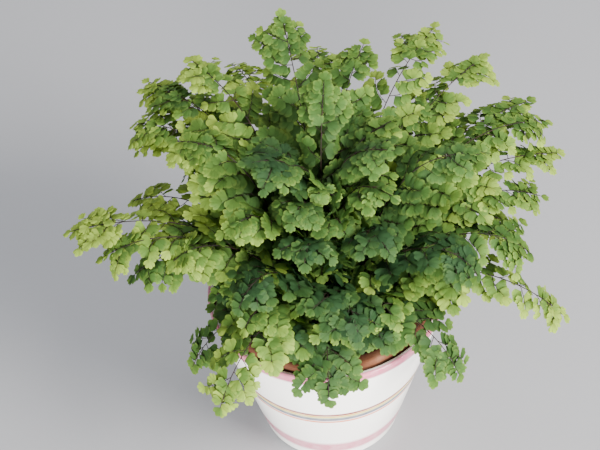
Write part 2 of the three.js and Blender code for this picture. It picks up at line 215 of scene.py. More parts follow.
def clayMaterial():
    look = clayLook
    material = newMaterial("Terracotta")
    place = addNode(material, "TexCoord", {}, {}).outputs["Object"]
    blotch = addNode(material, "TexNoise", {"Scale": 1 / (look["blotch"] * mm), "Detail": 4.0},
                     {"Vector": place})
    grit = addNode(material, "TexNoise", {"Scale": 1 / (look["grit"] * mm), "Detail": 2.0},
                   {"Vector": place})
    stops = [(0.3, srgb(look["damp"])), (0.52, srgb(look["clay"])), (0.75, srgb(look["lime"]))]
    tint = addNode(material, "ValToRGB", {"stops": stops}, {"Fac": blotch})
    speck = addNode(material, "MapRange",
                    {"From Min": 0.3, "From Max": 0.7, "To Min": 0.82, "To Max": 1.08}, {"Value": grit})
    colour = addNode(material, "VectorMath", {"operation": "SCALE"}, {0: tint, "Scale": speck})
    bump = addNode(material, "Bump", {"Strength": 0.35, "Distance": 0.3 * mm}, {"Height": grit})
    surface = addNode(material, "BsdfPrincipled", {"Roughness": look["roughness"], "IOR": 1.5},
                      {"Base Color": colour, "Normal": bump})
    addNode(material, "OutputMaterial", {}, {"Surface": surface})
    return material


# Damp peat compost: nearly black, crumbly, with paler fibres. The crumb is in mm.
compostLook = {"dark": "231911", "brown": "43301f", "fibre": "6b523a", "crumb": 2.5, "roughness": 0.95}


def compostMaterial():
    look = compostLook
    material = newMaterial("Peat compost")
    place = addNode(material, "TexCoord", {}, {}).outputs["Object"]
    crumb = addNode(material, "TexNoise",
                    {"Scale": 1 / (look["crumb"] * mm), "Detail": 5.0, "Roughness": 0.7},
                    {"Vector": place})
    stops = [(0.38, srgb(look["dark"])), (0.58, srgb(look["brown"])), (0.8, srgb(look["fibre"]))]
    tint = addNode(material, "ValToRGB", {"stops": stops}, {"Fac": crumb})
    bump = addNode(material, "Bump", {"Strength": 0.8, "Distance": 1.2 * mm}, {"Height": crumb})
    surface = addNode(material, "BsdfPrincipled", {"Roughness": look["roughness"]},
                      {"Base Color": tint, "Normal": bump})
    addNode(material, "OutputMaterial", {}, {"Surface": surface})
    return material


# Wiry fern stem: smooth and nearly black with browner streaks, and a soft sheen. The streaks are in mm.
stemLook = {"black": "17100c", "brown": "291912", "streak": 9, "roughness": 0.55, "shine": 0.2}


def stemMaterial():
    look = stemLook
    material = newMaterial("Wiry stem")
    place = addNode(material, "TexCoord", {}, {}).outputs["Object"]
    streak = addNode(material, "TexNoise", {"Scale": 1 / (look["streak"] * mm), "Detail": 2.0},
                     {"Vector": place})
    stops = [(0.4, srgb(look["black"])), (0.7, srgb(look["brown"]))]
    tint = addNode(material, "ValToRGB", {"stops": stops}, {"Fac": streak})
    surface = addNode(material, "BsdfPrincipled",
                      {"Roughness": look["roughness"], "IOR": 1.5, "Specular IOR Level": look["shine"]},
                      {"Base Color": tint})
    addNode(material, "OutputMaterial", {}, {"Surface": surface})
    return material


# Thin fern leaf: soft satin green that lets light through, paler at its edge, with fine veins fanning out.
# The attribute leafLook holds a leaflet's paleness, partly its age and partly painted light and shade, and
# its own shade. The UV map counts lobes across and runs from 0 to 1 outwards. The clefts between lobes and
# the foot are darkened with painted shade. The cloud is in mm.
leafLook = {
    "tones": [(0.0, "2c4a2a"), (0.3, "40612f"), (0.55, "4c7032"), (0.8, "648737"), (1.0, "9ab54a")],
    "edge": "b4c95a",
    "edgeShare": 0.3,
    "glow": "89aa5c",
    "glowShare": 0.45,
    "ownShade": 0.24,
    "drift": 0.2,
    "cloud": 6,
    "veins": 5,
    "veinShade": 0.86,
    # cleft and foot: how dark the painted shade leaves the clefts between lobes and the leaflet's foot
    "cleftShade": 0.5,
    "foot": 0.6,
    "roughness": 0.58,
    "shine": 0.2,
    "through": 0.46,
}


def leafMaterial():
    look = leafLook
    material = newMaterial("Fern leaf")
    leafData = addNode(material, "Attribute", {"attribute_name": "leafLook"}, {}).outputs["Color"]
    data = addNode(material, "SeparateColor", {}, {"Color": leafData})
    own = addNode(material, "Math",
                  {"operation": "MULTIPLY_ADD", 1: look["ownShade"], 2: -look["ownShade"] / 2},
                  {0: data.outputs["Green"]})
    place = addNode(material, "TexCoord", {}, {})
    cloud = addNode(material, "TexNoise", {"Scale": 1 / (look["cloud"] * mm), "Detail": 3.0},
                    {"Vector": place.outputs["Object"]})
    drift = addNode(material, "Math",
                    {"operation": "MULTIPLY_ADD", 1: look["drift"], 2: -look["drift"] / 2}, {0: cloud})
    # the leaflet's paleness: partly its age, partly painted light and shade set frond by frond
    ownPaleness = addNode(material, "Math", {"operation": "ADD"}, {0: data.outputs["Red"], 1: own})
    leafPaleness = addNode(material, "Math", {"operation": "ADD"}, {0: ownPaleness, 1: drift})
    stops = [(position, srgb(colour)) for position, colour in look["tones"]]
    green = addNode(material, "ValToRGB", {"stops": stops}, {"Fac": leafPaleness})
    leafMap = addNode(material, "SeparateXYZ", {}, {"Vector": place.outputs["UV"]})
    across, outward = leafMap.outputs["X"], leafMap.outputs["Y"]
    rim = addNode(material, "MapRange",
                  {"interpolation_type": "SMOOTHSTEP", "From Min": 0.72, "From Max": 1.0,
                   "To Max": look["edgeShare"]},
                  {"Value": outward})
    paleness = addNode(material, "Math", {"operation": "MULTIPLY", "use_clamp": True}, {0: rim, 1: leafPaleness})
    pale = addNode(material, "Mix", {"data_type": "RGBA", 7: srgb(look["edge"])}, {0: paleness, 6: green})
    wave = addNode(material, "Math", {"operation": "MULTIPLY", 1: look["veins"]}, {0: across})
    ridge = addNode(material, "Math", {"operation": "PINGPONG", 1: 0.5}, {0: wave})
    vein = addNode(material, "MapRange", {"From Min": 0.0, "From Max": 0.16, "To Min": 1.0, "To Max": 0.0},
                   {"Value": ridge})
    dark = addNode(material, "MapRange", {"To Min": 1.0, "To Max": look["veinShade"]}, {"Value": vein})
    # painted shade: dark clefts between the lobes towards the edge, and a darker foot
    gap = addNode(material, "Math", {"operation": "PINGPONG", 1: 0.5}, {0: across})
    cleftShade = addNode(material, "MapRange", {"From Max": 0.13, "To Min": look["cleftShade"], "To Max": 0.0},
                    {"Value": gap})
    outer = addNode(material, "MapRange", {"From Min": 0.35, "From Max": 0.9}, {"Value": outward})
    cleftShadeOutward = addNode(material, "Math", {"operation": "MULTIPLY"}, {0: cleftShade, 1: outer})
    clearOfCleftShade = addNode(material, "Math", {"operation": "SUBTRACT", 0: 1.0}, {1: cleftShadeOutward})
    foot = addNode(material, "MapRange", {"From Max": 0.6, "To Min": look["foot"], "To Max": 1.0},
                   {"Value": outward})
    veinsAndShade = addNode(material, "Math", {"operation": "MULTIPLY"}, {0: dark, 1: clearOfCleftShade})
    shade = addNode(material, "Math", {"operation": "MULTIPLY"}, {0: veinsAndShade, 1: foot})
    colour = addNode(material, "VectorMath", {"operation": "SCALE"}, {0: pale.outputs[2], "Scale": shade})
    bump = addNode(material, "Bump", {"Strength": 0.25, "Distance": 0.15 * mm}, {"Height": vein})
    front = addNode(material, "BsdfPrincipled",
                    {"Roughness": look["roughness"], "IOR": 1.42, "Specular IOR Level": look["shine"]},
                    {"Base Color": colour, "Normal": bump})
    glow = addNode(material, "Mix", {"data_type": "RGBA", 0: look["glowShare"], 7: srgb(look["glow"])},
                   {6: colour})
    through = addNode(material, "BsdfTranslucent", {}, {"Color": glow.outputs[2]})
    both = addNode(material, "MixShader", {0: look["through"]}, {1: front, 2: through})
    addNode(material, "OutputMaterial", {}, {"Surface": both})
    return material


glaze = glazeMaterial()
terracotta = clayMaterial()
compost = compostMaterial()
wiryStem = stemMaterial()
fernLeaf = leafMaterial()
print("materials made")


# Camera: as high above the plant as in the photograph, and a little tilted. Lengths are in mm.
view = {
    "elevation": 46.2,
    "roll": -3.6,
    "distance": 1200,
    "lookAt": (-16.6, 0, 211.4),
    "lens": 99,
    "sensor": 36,
}


def addCamera():
    rise = radians(view["elevation"])
    back = Vector((0, -math.cos(rise), math.sin(rise)))
    turn = Matrix.Rotation(radians(view["roll"]), 3, back)
    right = turn @ Vector((1, 0, 0))
    up = back.cross(right)
    data = bpy.data.cameras.new("camera")
    data.lens = view["lens"]
    data.sensor_width = view["sensor"]
    camera = bpy.data.objects.new("camera", data)
    place = (Vector(view["lookAt"]) + view["distance"] * back) * mm
    camera.matrix_world = Matrix.Translation(place) @ Matrix((right, up, back)).transposed().to_4x4()
    bpy.context.scene.collection.objects.link(camera)
    bpy.context.scene.camera = camera


addCamera()


# Planter: a tapered cover pot with a rounded lip and a foot ring. Its rim and height are the solid's, and
# the lengths are in mm. The heel is the foot's outer edge: how far in its centre lies, and its radius.
planterShape = {
    "foot": 55.5,
    "heel": (1.8, 1.6),
    "footRing": 5,
    "recess": 2,
    "wall": 5,
    "floor": 7,
    "corner": 4,
    "lip": 2.2,
    "steps": 128,
}


def makePlanter():
    shape = planterShape
    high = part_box("planter")[1]
    height = high.z / mm
    rim = high.x / mm
    foot = shape["foot"]
    slope = math.degrees(math.atan2(height, rim - foot))
    inward, heel = shape["heel"]
    lip = shape["lip"]
    floor, corner = shape["floor"], shape["corner"]
    ring = foot - 1.5 - shape["footRing"]
    inside = foot + (rim - foot) * floor / height - shape["wall"]
    profile = [
        (0, shape["recess"]),
        (ring - 2, shape["recess"]),
        (ring, 0),
        *arc((foot - inward, heel), heel, -90, slope - 90, 4),
        *arc((rim - lip - 0.05, height - lip), lip, slope - 90, 90, 6),  # the lip's outer side
        *arc((rim - shape["wall"] + lip - 0.3, height - lip), lip - 0.3, 90, 180, 4),  # its inner side
        (inside + 3, floor + corner),
        *arc((inside - 3, floor + corner), corner, 0, -90, 4),  # where the wall meets the floor
        (0, floor),
    ]
    piece = newPiece("planterGlazed", latheMesh(profile, shape["steps"]), [glaze], 40)
    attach(piece, "root")
    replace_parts(piece, "planter")


makePlanter()
print("planter made")


# Clay pot: a plain flower pot that stands a little proud of the planter. In mm, with its foot as a radius.
clayShape = {"foot": 50.7, "wall": 9.5, "floor": 9, "drain": 7, "edge": 2.6, "steps": 96}


def makeClayPot():
    shape = clayShape
    low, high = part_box("clay_pot")
    top = high.z / mm
    rim = high.x / mm
    base = low.z / mm
    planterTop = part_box("planter")[1].z / mm
    foot = shape["foot"]
    edge = shape["edge"]
    profile = [
        (shape["drain"], base),
        (foot - 1, base),
        (foot, base + 1),
        (rim, planterTop),
        *arc((rim - edge, top - edge), edge, 0, 90, 5),
        *arc((rim - shape["wall"] + edge, top - edge), edge, 90, 180, 5),
        (rim - shape["wall"], planterTop),
        (foot - shape["wall"], base + shape["floor"]),
        (shape["drain"], base + shape["floor"]),
    ]
    piece = newPiece("clayPotFired", latheMesh(profile, shape["steps"]), [terracotta], 40)
    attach(piece, "root")
    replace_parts(piece, "clay_pot")


makeClayPot()
print("clay pot made")


# Compost: a low mound with a rough surface and loose crumbs. Its sides narrow downwards by the taper. The
# surface and the crumbs are sunk a little, so that their bumps stay as low as the solid. Lengths are in mm.
soilShape = {
    "mound": 5,
    "taper": 0.243,
    "rings": 16,
    "steps": 72,
    "rough": 1.1,
    "bumpSize": 5,
    "sunk": 0.6,
    "crumbs": 260,
    "crumbSize": (0.7, 2.2),
    "crumbSunk": 0.5,
}
soilLow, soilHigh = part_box("soil")
soilRadius = soilHigh.x / mm
soilTop = soilHigh.z / mm - soilShape["mound"]
soilGap = 0.3  # between the soil and the pot around it


def soilHeight(radius):
    # how high the mound is, in mm, at this distance from its middle
    share = min(radius / (soilRadius + soilGap), 1)
    return soilTop + soilShape["mound"] * (1 - share * share)


def makeSoil():
    shape = soilShape
    draw = random.Random(5)
    bottom = soilLow.z / mm
    narrow = soilRadius - (soilTop - bottom) * shape["taper"]
    radii = [soilRadius * (1 - i / shape["rings"]) for i in range(shape["rings"] + 1)]
    surface = [(radius, soilHeight(radius) - shape["sunk"]) for radius in radii]
    bm = latheMesh([(0, bottom), (narrow, bottom), *surface], shape["steps"])
    for vert in bm.verts:
        x, y, z = vert.co / mm
        if z > bottom + 1 and math.hypot(x, y) < soilRadius - 0.5:
            vert.co.z += noise.noise(Vector((x, y, 0)) / shape["bumpSize"]) * shape["rough"] * mm
            vert.co.z = min(vert.co.z, soilHigh.z)
    for _ in range(shape["crumbs"]):
        size = draw.uniform(*shape["crumbSize"])
        radius = (soilRadius - 3) * math.sqrt(draw.random())
        angle = draw.uniform(0, math.tau)
        height = min(soilHeight(radius) - shape["crumbSunk"], soilHigh.z / mm - size)
        place = Vector((radius * math.cos(angle), radius * math.sin(angle), height)) * mm
        turn = Matrix.Rotation(draw.uniform(0, math.tau), 4, Vector((draw.random(), draw.random(), 1)))
        squash = Matrix.Diagonal((1, draw.uniform(0.6, 1), draw.uniform(0.5, 0.8), 1))
        bmesh.ops.create_icosphere(bm, subdivisions=1, radius=size * mm,
                                   matrix=Matrix.Translation(place) @ turn @ squash)
    piece = newPiece("compost", bm, [compost], 60)
    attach(piece, "root")
    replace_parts(piece, "soil")


makeSoil()
print("compost made")


# Fronds. The solids' own plan is worked out again, and each solid leaflet is filled with real ones.
# Values in mm and degrees: azimuth, reach, tip height, slope at root and tip, roll, longest spray,
# and how pale the leaves are, from 0 for deep green to 1 for pale. That is partly their age, old or young,
# and partly painted light and shade: paler on fronds that should look lit, deeper on fronds in shade.
fronds = [
    (80, 40, 320, 86, 40, 0, 44, 0.38),
    (-20, 58, 298, 83, 0, 0, 46, 0.28),
    (200, 58, 294, 83, 0, 0, 46, 0),
    (100, 120, 314, 78, 25, 0, 58, 0.52),
    (54, 162, 282, 70, 0, 0, 56, 0.76),
    (38, 165, 276, 68, 5, 0, 54, 0.78),
    (66, 96, 308, 78, 5, 0, 50, 0.52),
    (130, 142, 284, 74, 0, 0, 54, 0.8),
    (138, 170, 260, 68, -15, 0, 54, 1),
    (26, 180, 248, 66, -5, 0, 54, 0.66),
    (14, 186, 224, 64, -18, 0, 54, 0.8),
    (4, 118, 262, 74, -20, 8, 50, 0.3),
    (160, 112, 266, 74, -20, -8, 50, 0.62),
    (150, 152, 238, 68, -25, 0, 50, 1),
    (-150, 84, 248, 79, -30, 0, 46, 0.58),
    (-55, 80, 240, 79, -40, 0, 46, 0),
    (-104, 66, 234, 81, -40, 0, 46, 0),
    (-128, 104, 212, 75, -55, 0, 46, 0.02),
    (-30, 124, 210, 74, -60, 0, 48, 0),
    (178, 188, 212, 66, -18, 0, 50, 1),
    (190, 144, 192, 67, -50, 0, 48, 0.48),
    (-10, 154, 190, 67, -55, 0, 50, 0.55),
    (-78, 96, 184, 76, -66, 0, 44, 0.02),
    (-112, 96, 168, 62, -45, 0, 44, 0),
    (-66, 96, 168, 62, -45, 0, 44, 0.06),
    (-156, 92, 178, 62, -40, 0, 42, 0.04),
    (-90, 78, 196, 72, -45, 0, 42, 0),
    (-165, 118, 206, 72, -55, 0, 46, 0.78),
    (88, 165, 240, 66, -30, 0, 52, 0.74),
    (112, 168, 236, 66, -30, 0, 52, 0.96),
    (-124, 146, 152, 68, -62, 0, 50, 0.8),
    (-92, 114, 144, 70, -72, 0, 44, 0.26),
    (-17, 182, 150, 60, -50, 0, 42, 0.84),
    (-46, 132, 140, 68, -70, 0, 44, 0.38),
    (-146, 124, 136, 68, -70, 0, 42, 0.48),
    (163, 150, 202, 66, -35, 0, 46, 1),
    (40, 152, 184, 62, -45, 0, 48, 0.76),
    (66, 152, 170, 64, -55, 0, 46, 0.36),
    (100, 146, 160, 64, -60, 0, 46, 0.85),
    (132, 148, 168, 64, -55, 0, 46, 0),
    (8, 150, 172, 60, -50, 0, 44, 0.8),
]

# How the solids are laid out, in mm, degrees and shares
plan = {
    "rootSpread": 70,  # how far out a flat stem has its root, and an upright one has it at the middle
    "buried": 12,
    "arch": (0.5, 0.42),  # how long the curve keeps its slope at root and tip
    "bare": 0.32,
    "sprayLean": 50,
    "sprayGap": 17.5,
    "sprayTaper": 0.9,
    "leastSpray": 22,
    "first": (3, 7),  # where leaflets start on a rib's outer and inner side
    "droop": 0.003,  # how far the sides hang, for each squared mm from the stem
    "pitch": 15,
    "reach": 12.5,
    "endReach": 13,
    "taper": 0.3,
    "tipSize": 0.95,
    "ribEdge": (0.65, 0.5),
    "leafCorner": (0.9, 0.36, -1, 0.34),  # shares of reach and width, lift, and height of the top
    "sprayBends": (0, 10, -10, 20, -20, 30, -30),
    "leafBends": (0, 18, -18, 34, -34),
    "near": 0.3,  # how close a solid's corner has to be
}

# How the real leaflets and stems grow, in mm, degrees and shares. Lengths, radii and gaps in pairs are for
# the foot and the tip of a frond. A range is the least and the most that a size is multiplied by, and a
# bend is a mean and its spread.
growth = {
    "leafLength": (14.6, 8.8),
    "sprayTaper": 0.25,
    "leafWidth": 0.96,
    "lengthRange": (0.9, 1.08),
    "widthRange": (0.88, 1.12),
    "pitch": 0.47,
    "pitchRange": (0.9, 1.1),
    "firstLeaf": (0.3, 0.62),  # in leaflets from the rib's foot, on its outer and inner side
    "lastLeaf": 0.2,  # and from its end
    "lean": 62,
    "leanSpread": 5,
    "leanTip": 12,
    "shingle": 14,
    "loose": 8,
    "light": (0.1, -0.6, 0.9),
    "lightLoss": 1.3,
    "crowded": 0.9,
    "bendShare": 0.5,
    "sprayRange": (0.6, 1.2),
    "lowSprays": {"places": ((-9, 0.9), (-17, 0.7)), "stagger": 2, "range": (0.8, 1), "bend": (-8, 8)},
    "refused": {"bends": (-8, 4), "length": 0.8},
    "opposite": {"nudge": 5, "range": (0.6, 1.3), "length": 0.95, "near": 20, "bend": (-4, 5), "more": 4},
    "tipSprays": {
        "least": 7,
        "slope": 0.8,
        "trim": 9,
        "shortest": 3,
        "gap": (9, 6.5),
        "gapShare": 0.62,
        "range": (0.85, 1.15),
        "near": 40,
        "stop": 14,
        "bend": (-2, 6),
    },
    "tipEnd": 5,
    "stemLeaves": 0.75,
    "overStem": {"gap": 6, "share": 0.3, "swing": 16, "tilt": 12},
    "stemRadius": (0.68, 0.27),
    "stemStep": 6,
    "ribRadius": (0.27, 0.15),
    "ribSteps": 3,
    "bow": 4.0,
    "sag": 6.0,
    "paler": (0.3, 0.42),  # how much younger the tip is than the foot, of a frond and of a spray
    "tipPaler": (0.1, 0.2),  # shares of it over the stem and along the tip
}
stationStep = 2  # mm from one of a stem's stations to the next


def frondLine(azimuth, reach, tip, rise, fall, roll):
    # the stem's curve as stations: centre, left side and upper face
    outward = Vector((math.cos(radians(azimuth)), math.sin(radians(azimuth)), 0))
    left = Vector((-outward.y, outward.x, 0))

    def slope(angle):
        return outward * math.cos(radians(angle)) + Vector((0, 0, math.sin(radians(angle))))

    rootRadius = plan["rootSpread"] * math.cos(radians(rise))
    base = outward * rootRadius + Vector((0, 0, soilHeight(rootRadius)))
    end = outward * reach + Vector((0, 0, tip))
    chord = (end - base).length
    riseShare, fallShare = plan["arch"]
    hold = base + slope(rise) * chord * riseShare
    aim = end - slope(fall) * chord * fallShare

    def point(t):
        s = 1 - t
        return base * s ** 3 + hold * 3 * s * s * t + aim * 3 * s * t * t + end * t ** 3

    def direction(t):
        s = 1 - t
        return ((hold - base) * s * s + (aim - hold) * 2 * s * t + (end - aim) * t * t).normalized()

    parts = 200
    lengths = [0]
    for i in range(parts):
        lengths.append(lengths[-1] + (point((i + 1) / parts) - point(i / parts)).length)
    length = lengths[-1]
    stations = []
    for i in range(int((length + plan["buried"]) / stationStep) + 1):
        distance = i * stationStep - plan["buried"]
        inside = min(max(distance, 0), length)
        j = min(bisect_right(lengths, inside) - 1, parts - 1)
        t = (j + (inside - lengths[j]) / (lengths[j + 1] - lengths[j])) / parts
        along = direction(t)
        side = Matrix.Rotation(radians(roll) * inside / length, 3, along) @ left
        stations.append((point(t) + along * (distance - inside), side, along.cross(side)))
    return {"length": length, "stations": stations}


def inPlace(line, x, y, lift):
    # a point of a frond's flat plan, bent along its stem, in metres
    position = (x + plan["buried"]) / stationStep
    index = min(max(int(position), 0), len(line["stations"]) - 2)
    near, far = line["stations"][index:index + 2]
    centre, side, face = (a.lerp(b, position - index) for a, b in zip(near, far))
    return (centre + side * y + face * (lift - plan["droop"] * y * y)) * mm


def onShoot(line, shoot, u, v, lift=0.0):
    # a point u along a shoot's rib and v to its left
    share = max(u, 0) / shoot["length"]
    v += shoot["bow"] * math.sin(math.pi * min(share, 1))
    lift += u * math.tan(radians(shoot["bend"])) - shoot["sag"] * share * share
    cos, sin = math.cos(shoot["lean"]), math.sin(shoot["lean"])
    return inPlace(line, shoot["at"] + u * cos - v * sin, u * sin + v * cos, lift)


def solidLeaves(length, starts, size):
    # the solids' leaflets along a rib: side, place, width and reach
    first = min(starts.values())
    leaves = []
    for side, start in starts.items():
        count = int((length - start) / (plan["pitch"] * size) + 0.5)
        width = (length - start) / max(count, 1)
        for i in range(count):
            at = start + i * width
            reach = plan["reach"] * size * (1 - plan["taper"] * (at - first) / (length - first))
            leaves.append((side, at, width, reach))
    return leaves


def newShoot(at, side, length, **more):
    # a side spray, by how far along the stem it starts, its side and its length
    lean = radians(side * plan["sprayLean"])
    straight = {"lean": lean, "bend": 0, "bow": 0, "sag": 0}
    return {"at": at, "side": side, "length": length, "solids": [], **straight, **more}


def solidSprays(line, spread):
    # the solids' side sprays, with the leaflets that each carries
    length = line["length"] - plan["endReach"] * plan["tipSize"]
    sprays = []
    at = line["length"] * plan["bare"]
    side = 1
    reach = spread
    while reach > plan["leastSpray"] and at < length - plan["sprayGap"]:
        rib = reach - plan["endReach"]
        leaves = solidLeaves(rib, {side: plan["first"][0], -side: plan["first"][1]}, 1)
        sprays.append(newShoot(at, side, rib, solids=leaves))
        at += plan["sprayGap"]
        side = -side
        reach *= plan["sprayTaper"]
    return sprays


def grownSprays(line, sprays, draw):
    # sprays that the solids leave out: low ones, those that the build refused, one opposite each of theirs,
    # and short ones towards the tip
    low, refused, opposite, tip = (growth[k] for k in ("lowSprays", "refused", "opposite", "tipSprays"))
    grown = []
    for place, size in low["places"]:
        for side in (1, -1):
            at = sprays[0]["at"] + place + side * low["stagger"]
            length = sprays[0]["length"] * size * draw.uniform(*low["range"])
            grown.append(newShoot(at, side, length, bend=draw.gauss(*low["bend"])))
    for spray in sprays:
        if spray["bend"] is None:
            bend = draw.uniform(*refused["bends"])
            grown.append({**spray, "bend": bend, "length": spray["length"] * refused["length"]})
        across = [other for other in sprays if other["side"] != spray["side"] and other["bend"] is not None]
        near = [other["bend"] for other in across if abs(other["at"] - spray["at"]) < opposite["near"]]
        bend = (sum(near) / len(near) if near else 0) + draw.gauss(*opposite["bend"])
        at = spray["at"] + draw.uniform(*opposite["range"]) * opposite["nudge"]
        most = tip["least"] + tip["slope"] * (line["length"] - at) + opposite["more"]
        length = min(spray["length"] * opposite["length"], most)
        grown.append(newShoot(at, -spray["side"], length * draw.uniform(*growth["sprayRange"]), bend=bend))
    at = sprays[-1]["at"] + tip["gap"][0]
    side = sprays[-1]["side"]
    while at < line["length"] - tip["stop"]:
        tipward = line["length"] - at
        gap = tip["gap"][0] if tipward > tip["near"] else tip["gap"][1]
        length = tip["least"] + tip["slope"] * tipward - tip["trim"]
        if length > tip["shortest"]:
            length *= draw.uniform(*growth["sprayRange"])
            grown.append(newShoot(at, side, length, bend=draw.gauss(*tip["bend"])))
        at += gap * draw.uniform(*tip["range"]) * tip["gapShare"]
        side = -side
    return grown


def findBend(tree, bends, pointAt):
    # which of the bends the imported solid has, found by one of its corners, or None where it was left out
    for bend in bends:
        if tree.find(pointAt(bend))[2] < plan["near"] * mm:
            return bend
    return None


def cornerTree(node):
    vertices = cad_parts[node].data.vertices
    tree = kdtree.KDTree(len(vertices))
    for vertex in vertices:
        tree.insert(vertex.co, vertex.index)
    tree.balance()
    return tree


# One leaflet, of length 1 along X from the rib: a thin wedge with rounded lobes, on a short wiry stalk.
leafShape = {
    "kinds": 8,
    "lobe": (0, 0.97, 1.03, 1.03, 0.97),  # its edge, with 0 for the notch between two lobes
    "fan": (52, 64),  # half of the wedge's angle
    "stalk": 0.07,
    "middle": 0.55,
    "notch": (0.07, 0.16),
    "side": 0.94,
    "shoulder": (0.3, 2.2),  # how far the edge drops towards both sides, and how late
    "skew": 6,
    "cup": (0.0, 0.16),
    "wave": (0.03, 1.5),  # its height, and the number of waves across
    "thickness": 0.022,
    "stalkRadius": 0.016,
}


def makeLeaflet(kind):
    shape = leafShape
    draw = random.Random(kind)
    fan = radians(draw.uniform(*shape["fan"]))
    lobes = 3 + kind % 2
    lobe = shape["lobe"]
    steps = len(lobe) * lobes
    foot = shape["stalk"]
    start = (foot, 0, 0)
    bm = bmesh.new()
    for rings in ((0, shape["middle"], 1), (0, 1)):
        spoke = [bm.verts.new((foot + r * (1 - foot), 0, 0)) for r in rings]
        edges = [bm.edges.new(pair) for pair in zip(spoke, spoke[1:])]
        bmesh.ops.rotate(bm, verts=spoke, cent=start, matrix=Matrix.Rotation(-fan, 3, "Z"))
        bmesh.ops.spin(bm, geom=spoke + edges, cent=start, axis=(0, 0, 1), dvec=(0, 0, 0),
                       angle=2 * fan, steps=steps)
    bmesh.ops.remove_doubles(bm, verts=bm.verts[:], dist=1e-4)
    bmesh.ops.holes_fill(bm, edges=[edge for edge in bm.edges if edge.is_boundary], sides=0)
    skew = radians(draw.uniform(-1, 1) * shape["skew"])
    notches = [draw.uniform(*shape["notch"]) for _ in range(steps + 1)]
    cup = draw.uniform(*shape["cup"])
    turn = draw.uniform(0, math.tau)
    drop, late = shape["shoulder"]
    ripple, waves = shape["wave"]
    leafUv = bm.loops.layers.uv.new("leafUV")
    places = {}
    for vert in bm.verts:
        x, y = vert.co.x - foot, vert.co.y
        out = math.hypot(x, y) / (1 - foot)
        across = (math.atan2(y, x) / fan + 1) / 2 if out > 0.01 else 0.5
        step = round(across * steps)
        trim = 1 - drop * abs(2 * across - 1) ** late
        if out > 0.9:
            edge = lobe[step % len(lobe)]
            if edge == 0:
                edge = shape["side"] if step in (0, steps) else 1 - notches[step]
            trim *= edge
        vert.co.x = foot + x * trim
        vert.co.y = y * trim
        vert.co.z = -cup * out * out + ripple * out * math.sin(math.tau * across * waves + turn)
        if 0.1 < out < 0.9:
            vert.co.z += shape["thickness"]
        places[vert] = (across, out)
    for face in bm.faces:
        for loop in face.loops:
            across, out = places[loop.vert]
            loop[leafUv].uv = (across * lobes, out)
    bmesh.ops.rotate(bm, verts=bm.verts[:], cent=start, matrix=Matrix.Rotation(skew, 3, "Z"))
    bmesh.ops.recalc_face_normals(bm, faces=bm.faces[:])
    blade = set(bm.faces)
    reach = foot + 0.1
    lay = Matrix.Translation(((reach - 0.04) / 2, 0, -cup * 0.01)) @ Matrix.Rotation(math.pi / 2, 4, "Y")
    bmesh.ops.create_cone(bm, cap_ends=True, segments=3, radius1=shape["stalkRadius"],
                          radius2=shape["stalkRadius"] * 0.8, depth=reach + 0.04, matrix=lay)
    for face in bm.faces:
        face.smooth = True
        face.material_index = 0 if face in blade else 1
    for edge in bm.edges:
        edge.smooth = edge.calc_face_angle(0) < radians(50)
    bm.verts.layers.float_color.new("leafLook")
    mesh = bpy.data.meshes.new(f"leafletKind{kind}")
    bm.to_mesh(mesh)
    bm.free()
    return mesh


leafletKinds = [makeLeaflet(kind) for kind in range(leafShape["kinds"])]
print("leaflet kinds made,", len(leafletKinds[0].polygons), "and", len(leafletKinds[1].polygons), "faces")


def leafletMatrix(line, shoot, u, side, lean, bend):
    # where a leaflet is rooted on its rib, and how it lies: those near the frond's foot turn to the light
    step = 3  # mm to the points that show which way the frond's surface runs
    angle = radians(lean) * side
    cos, sin = math.cos(angle), math.sin(angle)
    root = onShoot(line, shoot, u, 0)
    ahead = onShoot(line, shoot, u + step * cos, step * sin, step * math.tan(radians(bend)))
    left = onShoot(line, shoot, u - step * sin, step * cos)
    axis = (ahead - root).normalized()
    inner = 1 - min(shoot["at"] / line["length"] * growth["lightLoss"], 1)
    normal = axis.cross(left - root).normalized() + Vector(growth["light"]) * inner
    normal = (normal - axis * normal.dot(axis)).normalized()
    turn = Matrix((axis, normal.cross(axis), normal)).transposed().to_4x4()
    return Matrix.Translation(root) @ turn


def addLeaflet(bm, matrix, length, tilt, leafPaleness, draw):
    roll = Matrix.Rotation(radians(tilt), 4, "X")
    pitch = Matrix.Rotation(radians(draw.gauss(0, growth["loose"])), 4, "Y")
    swing = Matrix.Rotation(radians(draw.gauss(0, growth["loose"])), 4, "Z")
    length *= draw.uniform(*growth["lengthRange"]) * mm
    width = length * growth["leafWidth"] * draw.uniform(*growth["widthRange"])
    leaflet = draw.choice(leafletKinds).copy()
    leaflet.transform(matrix @ swing @ pitch @ roll @ Matrix.Diagonal((length, width, length, 1)))
    look = (leafPaleness, draw.random(), 0, 1) * len(leaflet.vertices)
    leaflet.attributes["leafLook"].data.foreach_set("color", look)
    bm.from_mesh(leaflet)
    bpy.data.meshes.remove(leaflet)


def ribMesh(strands):
    # strands of (points in metres, radius at root and tip in mm) as round tubes with closed ends
    curve = bpy.data.curves.new("strands", "CURVE")
    curve.dimensions = "3D"
    curve.bevel_depth = mm
    curve.bevel_resolution = 1
    curve.use_fill_caps = True
    for points, (thick, thin) in strands:
        spline = curve.splines.new("POLY")
        spline.points.add(len(points) - 1)
        for i, (place, point) in enumerate(zip(points, spline.points)):
            share = i / (len(points) - 1)
            point.co = (*place, 1)
            point.radius = thick + (thin - thick) * share
    strand = bpy.data.objects.new("strands", curve)
    bpy.context.scene.collection.objects.link(strand)
    mesh = bpy.data.meshes.new_from_object(strand.evaluated_get(bpy.context.evaluated_depsgraph_get()))
    bpy.data.objects.remove(strand)
    bpy.data.curves.remove(curve)
    return mesh


